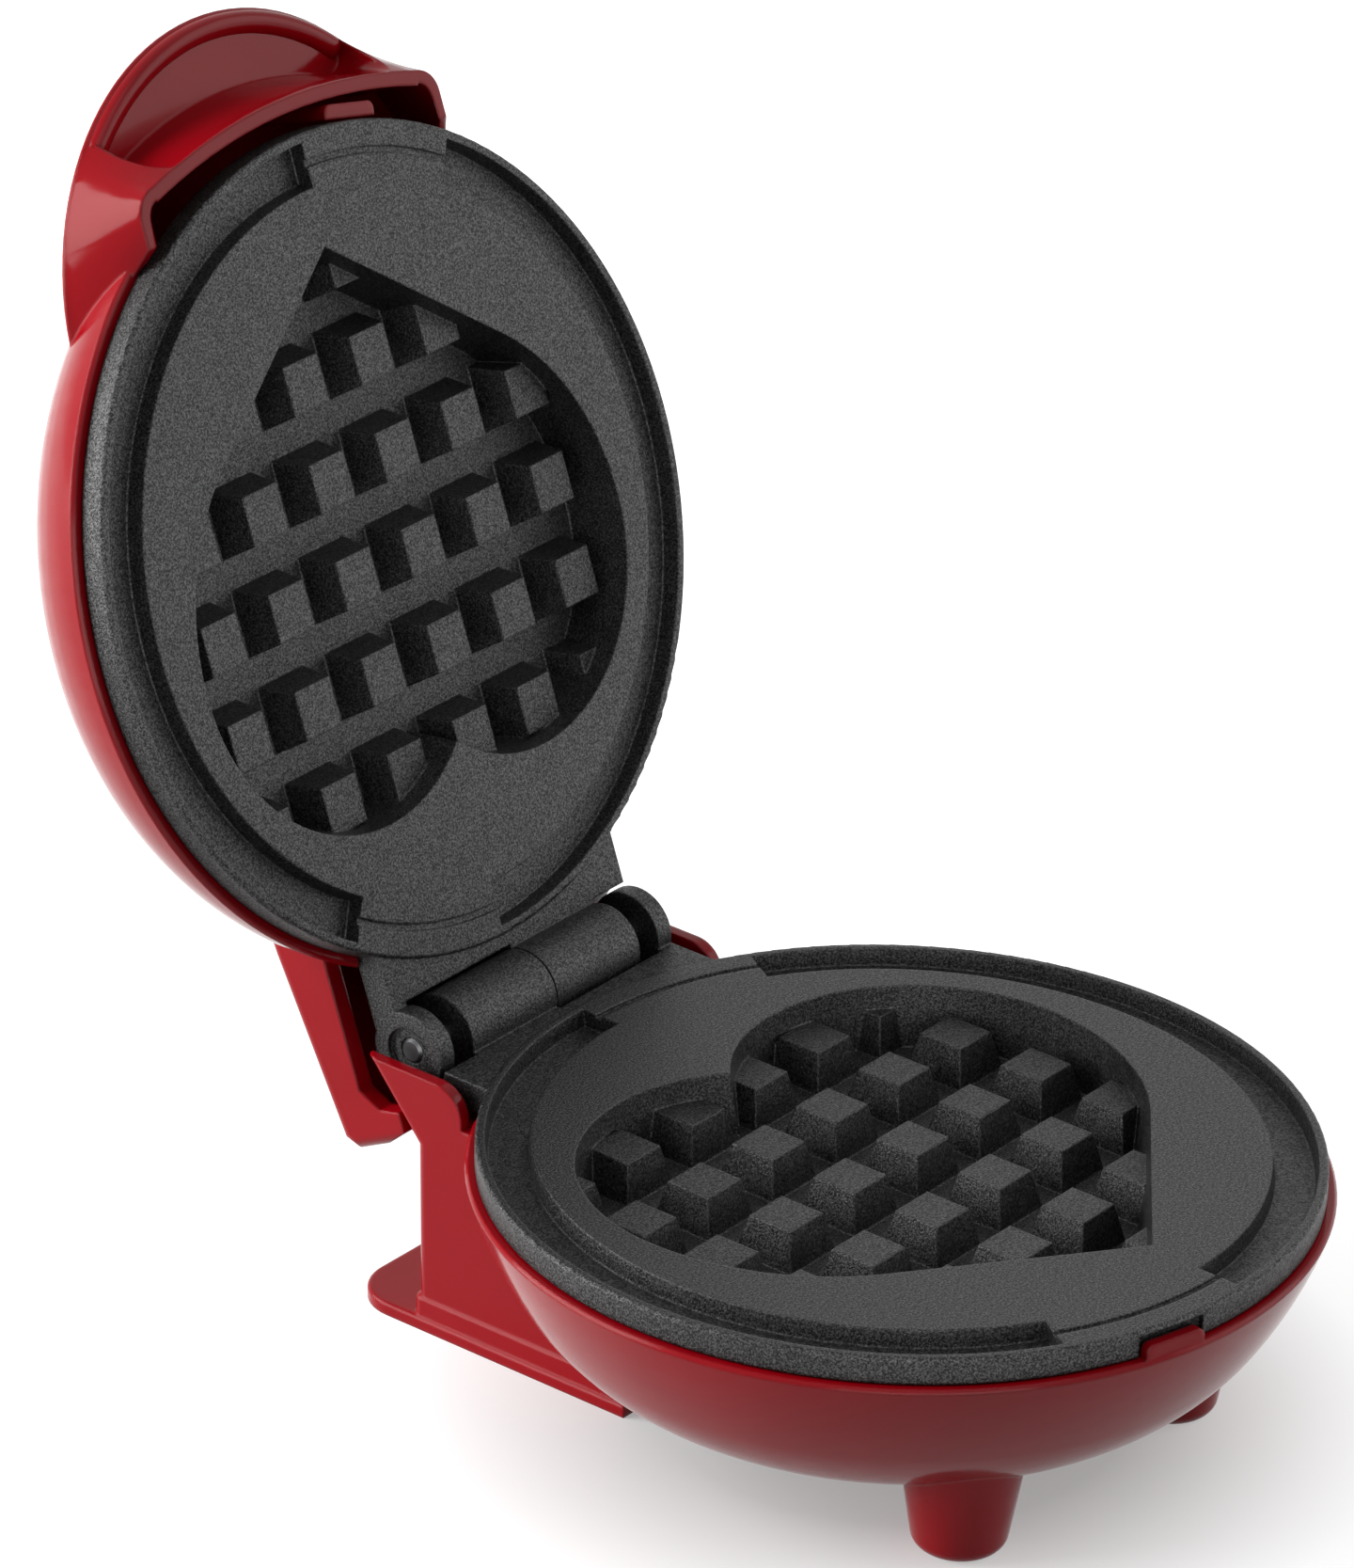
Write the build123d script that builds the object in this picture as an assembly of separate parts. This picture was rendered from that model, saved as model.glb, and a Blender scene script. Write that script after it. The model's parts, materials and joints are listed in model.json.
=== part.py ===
from build123d import *
from math import atan, cos, degrees, radians, sin, sqrt
import os

# Mini waffle maker with a hinged lid, standing open on its stop.
# Millimetres, +Z up. The model is built with the plate axis on the Z axis and the floor at Z = 0,
# then every piece is moved so that the origin is the middle of the footprint.
# The lid is drawn closed, in its shut place, and then turned back about the hinge.

# Heights
CONTACT_Z = 43.2            # floor to the plane where the two plates meet, and the hinge axis
PLATE_GAP = 0.4             # gap between the two plate faces when shut
LID_OPEN = 110.6            # lid angle on its stop, degrees

# Cooking plates, one casting used twice
PLATE_R = 62.0
PLATE_BAND = 4.1            # height of the bare side wall above the housing rim
SEAT_GAP = 0.3              # plate band over the housing rim
RIM_TOP = 1.4               # flat rim outside the overflow groove
GROOVE_W = 6.8
MOAT_R = PLATE_R - RIM_TOP
DISC_R = MOAT_R - GROOVE_W  # raised middle
MOAT_DEPTH = 2.8
MOAT_LEAN = 0.5             # how far each wall leans
BAND_FROM = 1.0             # bridge over the groove, degrees from the front or rear
BAND_TO = 30.5
BEAD_R = PLATE_R - 4.6      # fine groove in each bridge
BEAD_W = 1.1
BEAD_DEPTH = 0.6
SEAT_W = 3.4                # ring of the underside that sits over the housing rim
SPIGOT_R = PLATE_R - SEAT_W # lower step that drops inside the housing rim
SPIGOT_DEPTH = 2.6
NOTCH_W = 11.6              # notch in the side wall for the housing tab
NOTCH_DEPTH = 1.3
NOTCH_ROOF = 0.8            # left above the notch
NOTCH_ANGLE = 14.5          # degrees from the front
PLATE_EDGE = 0.5

# Heart cavity and its pegs
HEART_TIP = 45.0            # centre to tip
HEART_SIDE = 47.0           # widest half width
HEART_SIDE_Y = 9.0          # how far behind the centre it is widest
HEART_LOBE_X = 19.5
HEART_LOBE_Y = 38.4         # back of each lobe
HEART_NOTCH_Y = 31.8        # notch between the lobes
HEART_SHOULDER_X = 30.5     # end of the straight flank
HEART_SHOULDER_Y = 22.4
HEART_DEPTH = 9.7
HEART_DRAFT = 1.5           # how far each wall leans in from top to floor
HEART_WALL = 2.6
PEG_PITCH = 15.0
PEG_TOP = 7.5
PEG_BASE = 10.3
PEG_HEIGHT = 6.1
PEG_ROW_Y = 3.6             # first row behind the centre
PEG_COLUMNS = 6
PEG_ROWS = 6

# Hinge
HINGE_OUT = 8.9             # axis beyond the plate edge
HINGE_Y = PLATE_R + HINGE_OUT
KNUCKLE_R = 6.4
KNUCKLE_HALF = 19.5         # each plate's long knuckle, from the middle outward
KNUCKLE_SEAM = 0.4
EAR_IN = 24.0
EAR_T = 3.0
PIN_R = 2.0
PIN_CLEARANCE = 0.05
EAR_POCKET_R = 3.9
EAR_POCKET = 0.9
NECK_CLEARANCE = 0.6        # around a neighbour's turning knuckle
NECK_T = 4.6
NECK_DROP = 0.5             # neck lies this far under the plate face

# Housings
WALL = 2.2
RIM_OUT = 1.6
RIM_R = PLATE_R + RIM_OUT
RIM_LIP = 0.6               # bevel of the rim
CHEEK_OUT = 29.3            # half width over the hinge cheeks
CHEEK_WALL = 1.9
CHEEK_LEAN = 1.7            # how far each side leans out from the floor to the hinge
BOWL_FLOOR = 8.6            # underside of the bowl above the floor
BOWL_FLAT_R = 30.0
KNEE_IN = 7.0
KNEE_R = RIM_R - KNEE_IN    # where the bowl's floor arc meets its side arc
KNEE_DROP = 19.9            # under the contact plane
COLUMN_IN = 4.5
COLUMN_Y = HINGE_Y - COLUMN_IN  # rear face of the column
COLUMN_FRONT = 26.0
FLARE_OUT = 5.0
FLARE_Y = HINGE_Y + FLARE_OUT   # rear top corner of each cheek
FLARE_Z = 12.2              # flare starts this far under the hinge axis
CHEEK_TOP = 0.5             # cheek top under the hinge axis
CHEEK_RUN = 13.4
CHEEK_FRONT = HINGE_Y - CHEEK_RUN
CHEEK_ROUND = 5.0
COLUMN_ROUND = 1.8
SADDLE_R = 7.4              # trough under the knuckles
SADDLE_RUN = 20.9           # how far the trough runs on to the front
FLANGE_OUT = 30.4
FLANGE_T = 2.0
FLANGE_RUN = 8.5
FLANGE_BACK = HINGE_Y + FLANGE_RUN
FLANGE_CORNER = 8.0
FLANGE_EDGE = 0.6
PLINTH_OUT = 29.9
PLINTH_H = 3.2
FOOT_X = 25.6
FOOT_Y = -32.0
FOOT_TOP_Z = 17.0
FOOT_R_TOP = 9.6
FOOT_R = 6.8
FOOT_ROUND = 2.6
FOOT_BORE = 3.5
TAB_W = 10.4
TAB_H = 2.2                 # above the rim
TAB_IN = 0.8                # how far the tab reaches under the plate edge
TAB_OUT = 0.9               # and beyond it
TAB_ROOT = 1.5              # how far the tab runs down inside the rim
TAB_ROUND = 1.2

# Lid shell, heights above the contact plane with the lid shut
DOME_TOP = 32.5
DOME_FLAT_R = 24.0
DOME_KNEE_IN = 10.0
DOME_KNEE_R = RIM_R - DOME_KNEE_IN
DOME_KNEE_Z = 22.0
TAIL_FRONT = 40.0
TAIL_FRONT_Z = 20.2
TAIL_MID_Y = 54.0
TAIL_MID_Z = 18.9
TAIL_UNDER = 8.6            # lower edge of the tail's cheeks
TAIL_LIP_Z = 1.8            # end of the lip, which rests near the column when open
TAIL_ROUND = 2.0
TAIL_OUT = 30.4             # half width
TAIL_BACK = ((4.7, TAIL_UNDER), (7.7, 5.6), (8.2, TAIL_LIP_Z), (11.4, TAIL_LIP_Z),
             (13.5, 7.0), (14.1, 12.5), (12.3, 14.9))    # outline beyond the hinge axis
TAIL_HOLLOW = ((8.3, 0.0), (8.7, 8.0), (11.1, 12.3), (10.3, 13.3))
HOOD_R = 41.2               # brow over the finger recess
HOOD_IN = 22.2
HOOD_Y = HOOD_IN - PLATE_R
HOOD_FLAT_R = 17.8
HOOD_KNEE_R = 34.2
HOOD_KNEE_Z = 22.0
HOOD_UNDER = 13.8
HOOD_EDGE = 14.8
HOOD_TOP = 29.5
HOOD_BEVEL = 0.6
HOOD_SIDE_ANGLE = 66.5      # corners of the handle block on the brow, degrees from the front
HOOD_FRONT_ANGLE = 47.5
SKIRT_X = 33.3              # half width of the handle block at its lower edge
SKIRT_BACK = 7.0 - PLATE_R
SKIRT_SIDE_Y = 3.0 - PLATE_R
SKIRT_FRONT_X = 29.5
SKIRT_FRONT_Y = -1.2 - PLATE_R
SKIRT_Y = -5.3 - PLATE_R    # front of the skirt
SKIRT_R = 106.8             # its curve, seen from above
SKIRT_Z = 1.6               # lower edge
SKIRT_LEAN = 2.2            # how far the skirt leans out up to the brow
SKIRT_TOP_R = 65.0          # its curve under the brow
RECESS_X = 27.0             # half width of the finger recess
RECESS_ROUND = 3.0
LID_TAB_Z = 0.8
LID_TAB_IN = 0.3            # lid tab, inner and outer face beyond the plate edge
LID_TAB_OUT = 2.5
LID_TAB_ANGLE = 12.5

# Inside
ELEMENT_R = 25.0
ELEMENT_TUBE = 3.2
ELEMENT_Y = -3.0
ELEMENT_OPEN = 40.0         # open part of the loop, degrees
ELEMENT_GAP = 0.1           # under the plate
ELEMENT_LEAD = 9.0          # straight cold end
ELEMENT_PIN_R = 1.2
ELEMENT_PIN = 5.0
CLIP_T = 0.8
CLIP_W = 4.6
CLIP_TAB = 3.4
SHIELD_R = 36.0
SHIELD_T = 0.8
SHIELD_GAP = 2.4            # under the element
SHIELD_RIM = 3.0
SHIELD_POST_AT = 31.0       # distance of the shield posts from the plate axis
SHIELD_POST_R = 2.6
SHIELD_SCREW_R = 1.1
SHIELD_SCREW = 6.0
SHIELD_HEAD_R = 2.3
SHIELD_HEAD = 1.4
THERMOSTAT_R = 7.6
THERMOSTAT_H = 6.2
BLADE_W = 4.0
BLADE_T = 0.8
BLADE_OUT = 7.0
FUSE_X = -20.0
FUSE_Y = 26.0
FUSE_R = 2.0
FUSE_L = 11.0
FUSE_WIRE_R = 0.6
FUSE_WIRE = 3.0
LENS_Y = -20.0
LENS_R = 3.5
LENS_OUT = 0.4
LENS_FLANGE_R = 4.8
LENS_FLANGE_T = 1.0
LAMP_R = 2.2
LAMP_L = 9.0
BLOCK_X = 22.0              # terminal block
BLOCK_Y = 11.0
BLOCK_Z = 8.0
BLOCK_AT_Y = 50.0
BLOCK_HOLE_R = 1.8
CLIP_EASE = 0.1             # strap round its tube
SPRING_HALF = 6.0
SPRING_T = 0.4
SPRING_W = 5.0
PIN_PROUD = 0.3             # pin end past the pocket floor
PIN_CHAMFER = 0.5
SCREW_SLOT = 0.8
TIP_GAP = 0.5               # screw tip short of its hole's end
STUD_IN = 7.0
STUD_OUT = 8.0
GLAND_LIP = 1.2
GLAND_FLANGE_R = 6.0
CORD_R = 3.2
VENT_X = 9.0
VENT_Y = 36.5
VENT_W = 2.4
VENT_L = 9.0
PLUG_H = 4.0                # rubber plug in each front foot
PLUG_IN = 0.4
SCREW_R = 1.5
SCREW_HEAD_R = 3.0
SCREW_HEAD = 2.0
SCREW_CLEARANCE = 0.1
PILLAR_R = 3.6
PILLAR_DROP = 9.0
REAR_SCREW_X = 17.0
REAR_SCREW_Y = 49.0
FRONT_SEAT_DROP = 30.5      # screw seats under the contact plane
REAR_SEAT_DROP = 22.5
BOSS_GAP = 0.1
WIRE_Y = 44.0
WIRE_R = 4.0
CORD_Z = 14.0
GLAND_R = 4.2
GLAND_CLEARANCE = 0.1
COVER_Z = 0.8
COVER_T = 2.4
FLAT_HEAD = 1.5
COVER_GAP = 0.2
COVER_SCREW = 6.5
POST_R = 4.4
POST_IN = 4.2
POST_H = 14.0

# Worked out from the sizes above
PLATE_FACE = CONTACT_Z - PLATE_GAP / 2
RIM_Z = PLATE_FACE - PLATE_BAND - SEAT_GAP
KNEE_Z = CONTACT_Z - KNEE_DROP
PILLAR_END = -PLATE_BAND - PILLAR_DROP
FRONT_SEAT = CONTACT_Z - FRONT_SEAT_DROP
REAR_SEAT = CONTACT_Z - REAR_SEAT_DROP
BOSS_TOP = PLATE_FACE + PILLAR_END - BOSS_GAP
CHEEK_IN = CHEEK_OUT - CHEEK_WALL
HEART_UNDER = -HEART_DEPTH - HEART_WALL
ELEMENT_Z = HEART_UNDER - ELEMENT_GAP - ELEMENT_TUBE
SHIELD_Z = ELEMENT_Z - ELEMENT_TUBE - SHIELD_GAP - SHIELD_T

nodes = {}


def side_profile(points):
    """Face in the Y-Z plane at X = 0 from a list of (y, z) points."""
    line = Polyline(*[(0, y, z) for y, z in points], close=True)
    return make_face(line)


def across(face, half):
    """Extrude a Y-Z face to both sides of X = 0."""
    return extrude(face, half, dir=(1, 0, 0), both=True)


def rod(x0, x1, r, y=0.0, z=0.0):
    """Round bar along X."""
    return Pos((x0 + x1) / 2, y, z) * Rot(0, 90, 0) * Cylinder(r, x1 - x0)


def upright(x, y, z0, z1, r, r_top=None):
    """Round bar or cone along Z."""
    place = Pos(x, y, (z0 + z1) / 2)
    if r_top is None:
        return place * Cylinder(r, z1 - z0)
    return place * Cone(r, r_top, z1 - z0)


def heart_outline():
    """Heart with its tip to the front, built from one line and three arcs a side."""
    tip = (0, -HEART_TIP)
    shoulder = (HEART_SHOULDER_X, -HEART_SHOULDER_Y)
    side = (HEART_SIDE, HEART_SIDE_Y)
    lobe = (HEART_LOBE_X, HEART_LOBE_Y)
    notch = (0, HEART_NOTCH_Y)
    flank = Line(tip, shoulder)
    front = TangentArc(side, shoulder, tangent=(0, -1))
    back = TangentArc(side, lobe, tangent=(0, 1))
    inner = TangentArc(lobe, notch, tangent=back % 1)
    half = [flank, front, back, inner]
    return make_face(half + [mirror(edge, about=Plane.YZ) for edge in half])


def pegs():
    """Grid of square pegs with leaning sides, rising from the cavity floor."""
    taper = degrees(atan((PEG_BASE - PEG_TOP) / 2 / PEG_HEIGHT))
    grid = []
    for column in range(PEG_COLUMNS):
        x = (column - (PEG_COLUMNS - 1) / 2) * PEG_PITCH
        for row in range(PEG_ROWS):
            y = PEG_ROW_Y + (row - PEG_ROWS // 2) * PEG_PITCH
            foot = Pos(x, y, -HEART_DEPTH) * Rectangle(PEG_BASE, PEG_BASE)
            grid.append(extrude(foot, PEG_HEIGHT, taper=taper))
    return grid


def heart_cavity():
    top = heart_outline()
    floor = offset(top, -HEART_DRAFT, kind=Kind.INTERSECTION)
    cavity = loft([top, Pos(0, 0, -HEART_DEPTH) * floor], ruled=True)
    return cavity - pegs()


def groove(r_in, r_out, depth, start, sweep, lean=0.0):
    """Ring groove cut into the plate face, over part of a turn."""
    section = Polyline(
        (r_in, 0, 0),
        (r_in + lean, 0, -depth),
        (r_out - lean, 0, -depth),
        (r_out, 0, 0),
        (r_out, 0, 1),
        (r_in, 0, 1),
        close=True,
    )
    ring = revolve(make_face(section), Axis.Z, sweep)
    return Rot(0, 0, start) * ring


def screw_places():
    front = [(side * FOOT_X, FOOT_Y) for side in (-1, 1)]
    rear = [(side * REAR_SCREW_X, REAR_SCREW_Y) for side in (-1, 1)]
    return front, rear


def shield_places():
    """Places of the three screws that hold each heat shield."""
    return [(SHIELD_POST_AT * sin(radians(a)), -SHIELD_POST_AT * cos(radians(a))) for a in (0, 120, 240)]


def cooking_plate():
    """Cast plate, face up at Z = 0, hinge to the rear."""
    disc = Pos(0, 0, -PLATE_BAND / 2) * Cylinder(PLATE_R, PLATE_BAND)
    disc = fillet(disc.edges().group_by(Axis.Z)[-1], PLATE_EDGE)
    plate = disc + upright(0, 0, -PLATE_BAND - SPIGOT_DEPTH, -PLATE_BAND, SPIGOT_R)

    # Neck and knuckles: a long knuckle on one side of the middle, an ear at the far end
    axis_z = PLATE_GAP / 2
    around = KNUCKLE_R + NECK_CLEARANCE
    neck_z = -NECK_DROP - NECK_T / 2
    ear_out = EAR_IN + EAR_T
    neck = Pos(0, HINGE_Y / 2, neck_z) * Box(2 * ear_out, HINGE_Y, NECK_T)
    plate = plate + (neck - rod(-ear_out - 1, ear_out + 1, around, HINGE_Y, axis_z))
    for x0, x1 in ((-KNUCKLE_HALF, -KNUCKLE_SEAM / 2), (EAR_IN, ear_out)):
        knuckle = rod(x0, x1, KNUCKLE_R, HINGE_Y, axis_z)
        length = around + 1
        web = Pos((x0 + x1) / 2, HINGE_Y - length / 2, neck_z) * Box(x1 - x0, length, NECK_T)
        plate = plate + knuckle + web

    # Underside: wall round the heart and four screw pillars
    wall = offset(heart_outline(), HEART_WALL)
    plate = plate + extrude(wall, -(HEART_DEPTH + HEART_WALL))
    front, rear = screw_places()
    for x, y in front + rear:
        plate = plate + upright(x, y, PILLAR_END, -PLATE_BAND / 2, PILLAR_R)
        plate = plate - upright(x, y, PILLAR_END - 1, -PLATE_BAND, SCREW_R + PIN_CLEARANCE)

    # Face
    plate = plate - heart_cavity()
    sweep = 180 + BAND_FROM - BAND_TO
    for turn in (0, 180):
        start = 270 - BAND_FROM + turn
        plate = plate - groove(DISC_R, MOAT_R, MOAT_DEPTH, start, sweep, MOAT_LEAN)
        bridge = BAND_TO - BAND_FROM
        half = BEAD_W / 2
        plate = plate - groove(BEAD_R - half, BEAD_R + half, BEAD_DEPTH, start - bridge, bridge)
    notch = Pos(0, -PLATE_R, -NOTCH_ROOF - PLATE_BAND) * Box(NOTCH_W, 2 * NOTCH_DEPTH, 2 * PLATE_BAND)
    plate = plate - Rot(0, 0, -NOTCH_ANGLE) * notch

    # Hinge bore, and a pocket round the pin end in the ear
    plate = plate - rod(-ear_out - 1, ear_out + 1, PIN_R + PIN_CLEARANCE, HINGE_Y, axis_z)
    plate = plate - rod(ear_out - EAR_POCKET, ear_out + 1, EAR_POCKET_R, HINGE_Y, axis_z)
    return plate


def round_profile(flat_r, floor_z, knee, rim, inset=0.0):
    """Half section of a bowl: flat middle, an arc up to the knee, an arc on to the rim.

    Each corner is (radius, height), and inset draws the inner face of a wall that thick.
    """
    up = 1 if rim[1] > floor_z else -1
    run = knee[0] - flat_r
    rise = abs(knee[1] - floor_z)
    big = (run * run + rise * rise) / (2 * rise)
    across_wall = inset * run / big
    up_wall = inset * (big - rise) / big
    centre = (0, 0, floor_z + up * inset)
    flat = (flat_r, 0, floor_z + up * inset)
    bend = (knee[0] - across_wall, 0, knee[1] + up * up_wall)
    edge = (rim[0] - inset, 0, rim[1])
    floor_line = Line(centre, flat)
    lower_arc = TangentArc(flat, bend, tangent=(1, 0, 0))
    upper_arc = TangentArc(bend, edge, tangent=lower_arc % 1)
    lid_line = Line(edge, (0, 0, rim[1]))
    return make_face([floor_line, lower_arc, upper_arc, lid_line, Line((0, 0, rim[1]), centre)])


def bowl(inset=0.0, extra=0.0):
    """Solid of the lower bowl, or of its hollow."""
    section = round_profile(BOWL_FLAT_R, BOWL_FLOOR, (KNEE_R, KNEE_Z), (RIM_R, RIM_Z), inset)
    solid = revolve(section, Axis.Z)
    if extra:
        solid = solid + upright(0, 0, RIM_Z, RIM_Z + extra, RIM_R - inset)
    return solid


def foot(side):
    """Tapered front foot with a rounded end."""
    cone = upright(side * FOOT_X, FOOT_Y, 0, FOOT_TOP_Z, FOOT_R, FOOT_R_TOP)
    return fillet(cone.edges().group_by(Axis.Z)[0], FOOT_ROUND)


def tab(r_in, r_out, z0, z1):
    """Upright tab at the front, drawn before it is turned to its angle."""
    return Pos(0, -(r_in + r_out) / 2, (z0 + z1) / 2) * Box(TAB_W, r_out - r_in, z1 - z0)


def rim_tab():
    """Low tab on the base rim that stands in the plate's notch."""
    block = tab(PLATE_R - TAB_IN, PLATE_R + TAB_OUT, RIM_Z - TAB_ROOT, RIM_Z + TAB_H)
    block = fillet(block.edges().filter_by(Axis.Y).group_by(Axis.Z)[-1], TAB_ROUND)
    return Rot(0, 0, -NOTCH_ANGLE) * block


def lid_tab():
    """Tab of the lid, just outside the plate edge."""
    block = tab(PLATE_R + LID_TAB_IN, PLATE_R + LID_TAB_OUT, LID_TAB_Z, DOME_TOP)
    block = fillet(block.edges().filter_by(Axis.Z).group_by(Axis.Y)[0], TAB_ROUND)
    return Rot(0, 0, LID_TAB_ANGLE) * block


def leaning(half):
    """Block whose two sides lean out from the floor up to the hinge axis."""
    top = half + CHEEK_LEAN
    outline = Polyline((-half, 0, 0), (half, 0, 0), (top, 0, CONTACT_Z), (-top, 0, CONTACT_Z), close=True)
    return extrude(make_face(outline), 2 * HINGE_Y, dir=(0, 1, 0), both=True)


def outer_edges(column, from_y):
    """Edges on the outer faces of a column, at its rear."""
    found = []
    for edge in column.edges():
        on_side = abs(edge.center().X) > CHEEK_OUT / 2
        if on_side and min(vertex.Y for vertex in edge.vertices()) > from_y - 0.01:
            found.append(edge)
    return found


def lower_housing():
    """Moulded base: bowl on two front feet, hinge column and rear flange in one shell."""
    z_hinge = CONTACT_Z
    flare_z = z_hinge - FLARE_Z
    cheek_z = z_hinge - CHEEK_TOP
    saddle_z = z_hinge - SADDLE_R
    plinth_z = FLANGE_T + PLINTH_H

    # Column with its cheeks, drawn from the side
    column = across(side_profile([
        (COLUMN_FRONT, 0),
        (COLUMN_Y, 0),
        (COLUMN_Y, flare_z),
        (FLARE_Y, cheek_z),
        (CHEEK_FRONT, cheek_z),
        (CHEEK_FRONT, RIM_Z - WALL),
        (COLUMN_FRONT, RIM_Z - WALL),
    ]), CHEEK_OUT + CHEEK_LEAN) & leaning(CHEEK_OUT)
    front_top = column.edges().filter_by(Axis.X).filter_by_position(Axis.Y, CHEEK_FRONT - 1, CHEEK_FRONT + 1)
    column = fillet(front_top.sort_by(Axis.Z)[-1:], CHEEK_ROUND)
    column = fillet(outer_edges(column, COLUMN_Y), COLUMN_ROUND)

    # Flange and plinth
    depth = FLANGE_BACK - COLUMN_FRONT
    flange = Pos(0, (FLANGE_BACK + COLUMN_FRONT) / 2, FLANGE_T / 2) * Box(2 * FLANGE_OUT, depth, FLANGE_T)
    flange = fillet(flange.edges().filter_by(Axis.Z).group_by(Axis.Y)[-1], FLANGE_CORNER)
    flange = fillet(flange.edges().group_by(Axis.Z)[-1], FLANGE_EDGE)
    plinth_back = COLUMN_Y + PLINTH_OUT - CHEEK_OUT
    length = plinth_back - COLUMN_FRONT
    plinth = Pos(0, COLUMN_FRONT + length / 2, plinth_z / 2) * Box(2 * PLINTH_OUT, length, plinth_z)
    plinth = fillet(plinth.edges().filter_by(Axis.Z).group_by(Axis.Y)[-1], COLUMN_ROUND)
    plinth = fillet(plinth.edges().group_by(Axis.Z)[-1], FLANGE_EDGE)

    body = bowl()
    rim_edge = body.edges().group_by(Axis.Z)[-1]
    body = chamfer(rim_edge, RIM_LIP)
    body = body + column + flange + plinth

    # Hollows: the bowl, the trough for the knuckles, and the cavity in the column
    body = body - bowl(WALL, extra=SADDLE_R)
    lane = Pos(0, HINGE_Y - SADDLE_RUN / 2, saddle_z + SADDLE_R) * Box(2 * CHEEK_OUT, SADDLE_RUN, 2 * SADDLE_R)
    trough = rod(-CHEEK_OUT, CHEEK_OUT, SADDLE_R, HINGE_Y, z_hinge) + lane
    body = body - (trough & leaning(CHEEK_IN))
    cavity_top = saddle_z - WALL
    y0 = COLUMN_FRONT + WALL
    y1 = COLUMN_Y - WALL
    cavity = Pos(0, (y0 + y1) / 2, cavity_top / 2) * Box(2 * CHEEK_IN, y1 - y0, cavity_top)
    body = body - (cavity - bowl())

    # Front feet, tab, and the bosses that take the plate screws
    for side in (-1, 1):
        body = body + (foot(side) - bowl(WALL))
    body = body + (rim_tab() & bowl(extra=TAB_H))
    front_places, rear_places = screw_places()
    for x, y in front_places:
        body = body + (upright(x, y, FRONT_SEAT, BOSS_TOP, PILLAR_R) & bowl())
        body = body - upright(x, y, -1, FRONT_SEAT, FOOT_BORE)
        body = body - upright(x, y, FRONT_SEAT - 1, BOSS_TOP + 1, SCREW_R + SCREW_CLEARANCE)
    for x, y in rear_places:
        body = body + (upright(x, y, REAR_SEAT - WALL, BOSS_TOP, PILLAR_R) & bowl())
        body = body - upright(x, y, WALL, REAR_SEAT, SCREW_HEAD_R + SCREW_CLEARANCE)
        body = body - upright(x, y, REAR_SEAT - 1, BOSS_TOP + 1, SCREW_R + SCREW_CLEARANCE)
    shield_seat = PLATE_FACE + SHIELD_Z
    for x, y in shield_places():
        body = body + (upright(x, y, BOWL_FLOOR, shield_seat - BOSS_GAP, SHIELD_POST_R) & bowl())
        hole_end = shield_seat - SHIELD_SCREW - TIP_GAP
        body = body - upright(x, y, hole_end, shield_seat + 1, SHIELD_SCREW_R + PIN_CLEARANCE)

    # Wire way between bowl and column, cord inlet, and posts for the underside cover
    body = body - Pos(0, WIRE_Y, 0) * upright(0, 0, 0, saddle_z - WALL, WIRE_R)
    body = body - Pos(0, COLUMN_Y, CORD_Z) * Rot(90, 0, 0) * Cylinder(GLAND_R + GLAND_CLEARANCE, 4 * WALL)
    for x, y in cover_posts():
        post = upright(x, y, COVER_Z + COVER_T, COVER_Z + COVER_T + POST_H, POST_R)
        body = body + (post - bowl())
        body = body - upright(x, y, 0, COVER_Z + COVER_T + COVER_SCREW, SCREW_R + SCREW_CLEARANCE)
    return body


def cover_posts():
    """Places of the two screws that hold the underside cover."""
    x = CHEEK_IN - POST_IN
    return [(side * x, (COLUMN_FRONT + COLUMN_Y) / 2) for side in (-1, 1)]


def skirt_face(inset=0.0):
    """Outline of the handle block at its lower edge."""
    x0 = SKIRT_X - inset
    x1 = SKIRT_FRONT_X - inset / 2
    y1 = SKIRT_FRONT_Y + inset
    front = ThreePointArc((-x1, y1), (0, SKIRT_Y + inset), (x1, y1))
    edges = [front, Line((-x0, SKIRT_BACK), (x0, SKIRT_BACK))]
    for side in (-1, 1):
        edges.append(Line((side * x0, SKIRT_BACK), (side * x0, SKIRT_SIDE_Y)))
        edges.append(TangentArc((side * x0, SKIRT_SIDE_Y), (side * x1, y1), tangent=(0, -1)))
    return make_face(edges)


def brow_face(inset=0.0):
    """Outline of the handle block where it runs into the brow: half a circle in five arcs."""
    def at(angle):
        r = HOOD_R - inset
        return (r * sin(radians(angle)), HOOD_Y - r * cos(radians(angle)))

    edges = [ThreePointArc(at(-HOOD_FRONT_ANGLE), at(0), at(HOOD_FRONT_ANGLE)), Line(at(-90), at(90))]
    for side in (-1, 1):
        for start, end in ((90, HOOD_SIDE_ANGLE), (HOOD_SIDE_ANGLE, HOOD_FRONT_ANGLE)):
            edges.append(ThreePointArc(at(side * start), at(side * (start + end) / 2), at(side * end)))
    return make_face(edges)


def handle_block(inset=0.0):
    low = SKIRT_Z - (1 if inset else 0)
    return loft([Pos(0, 0, low) * skirt_face(inset), Pos(0, 0, HOOD_EDGE) * brow_face(inset)], ruled=True)


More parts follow.
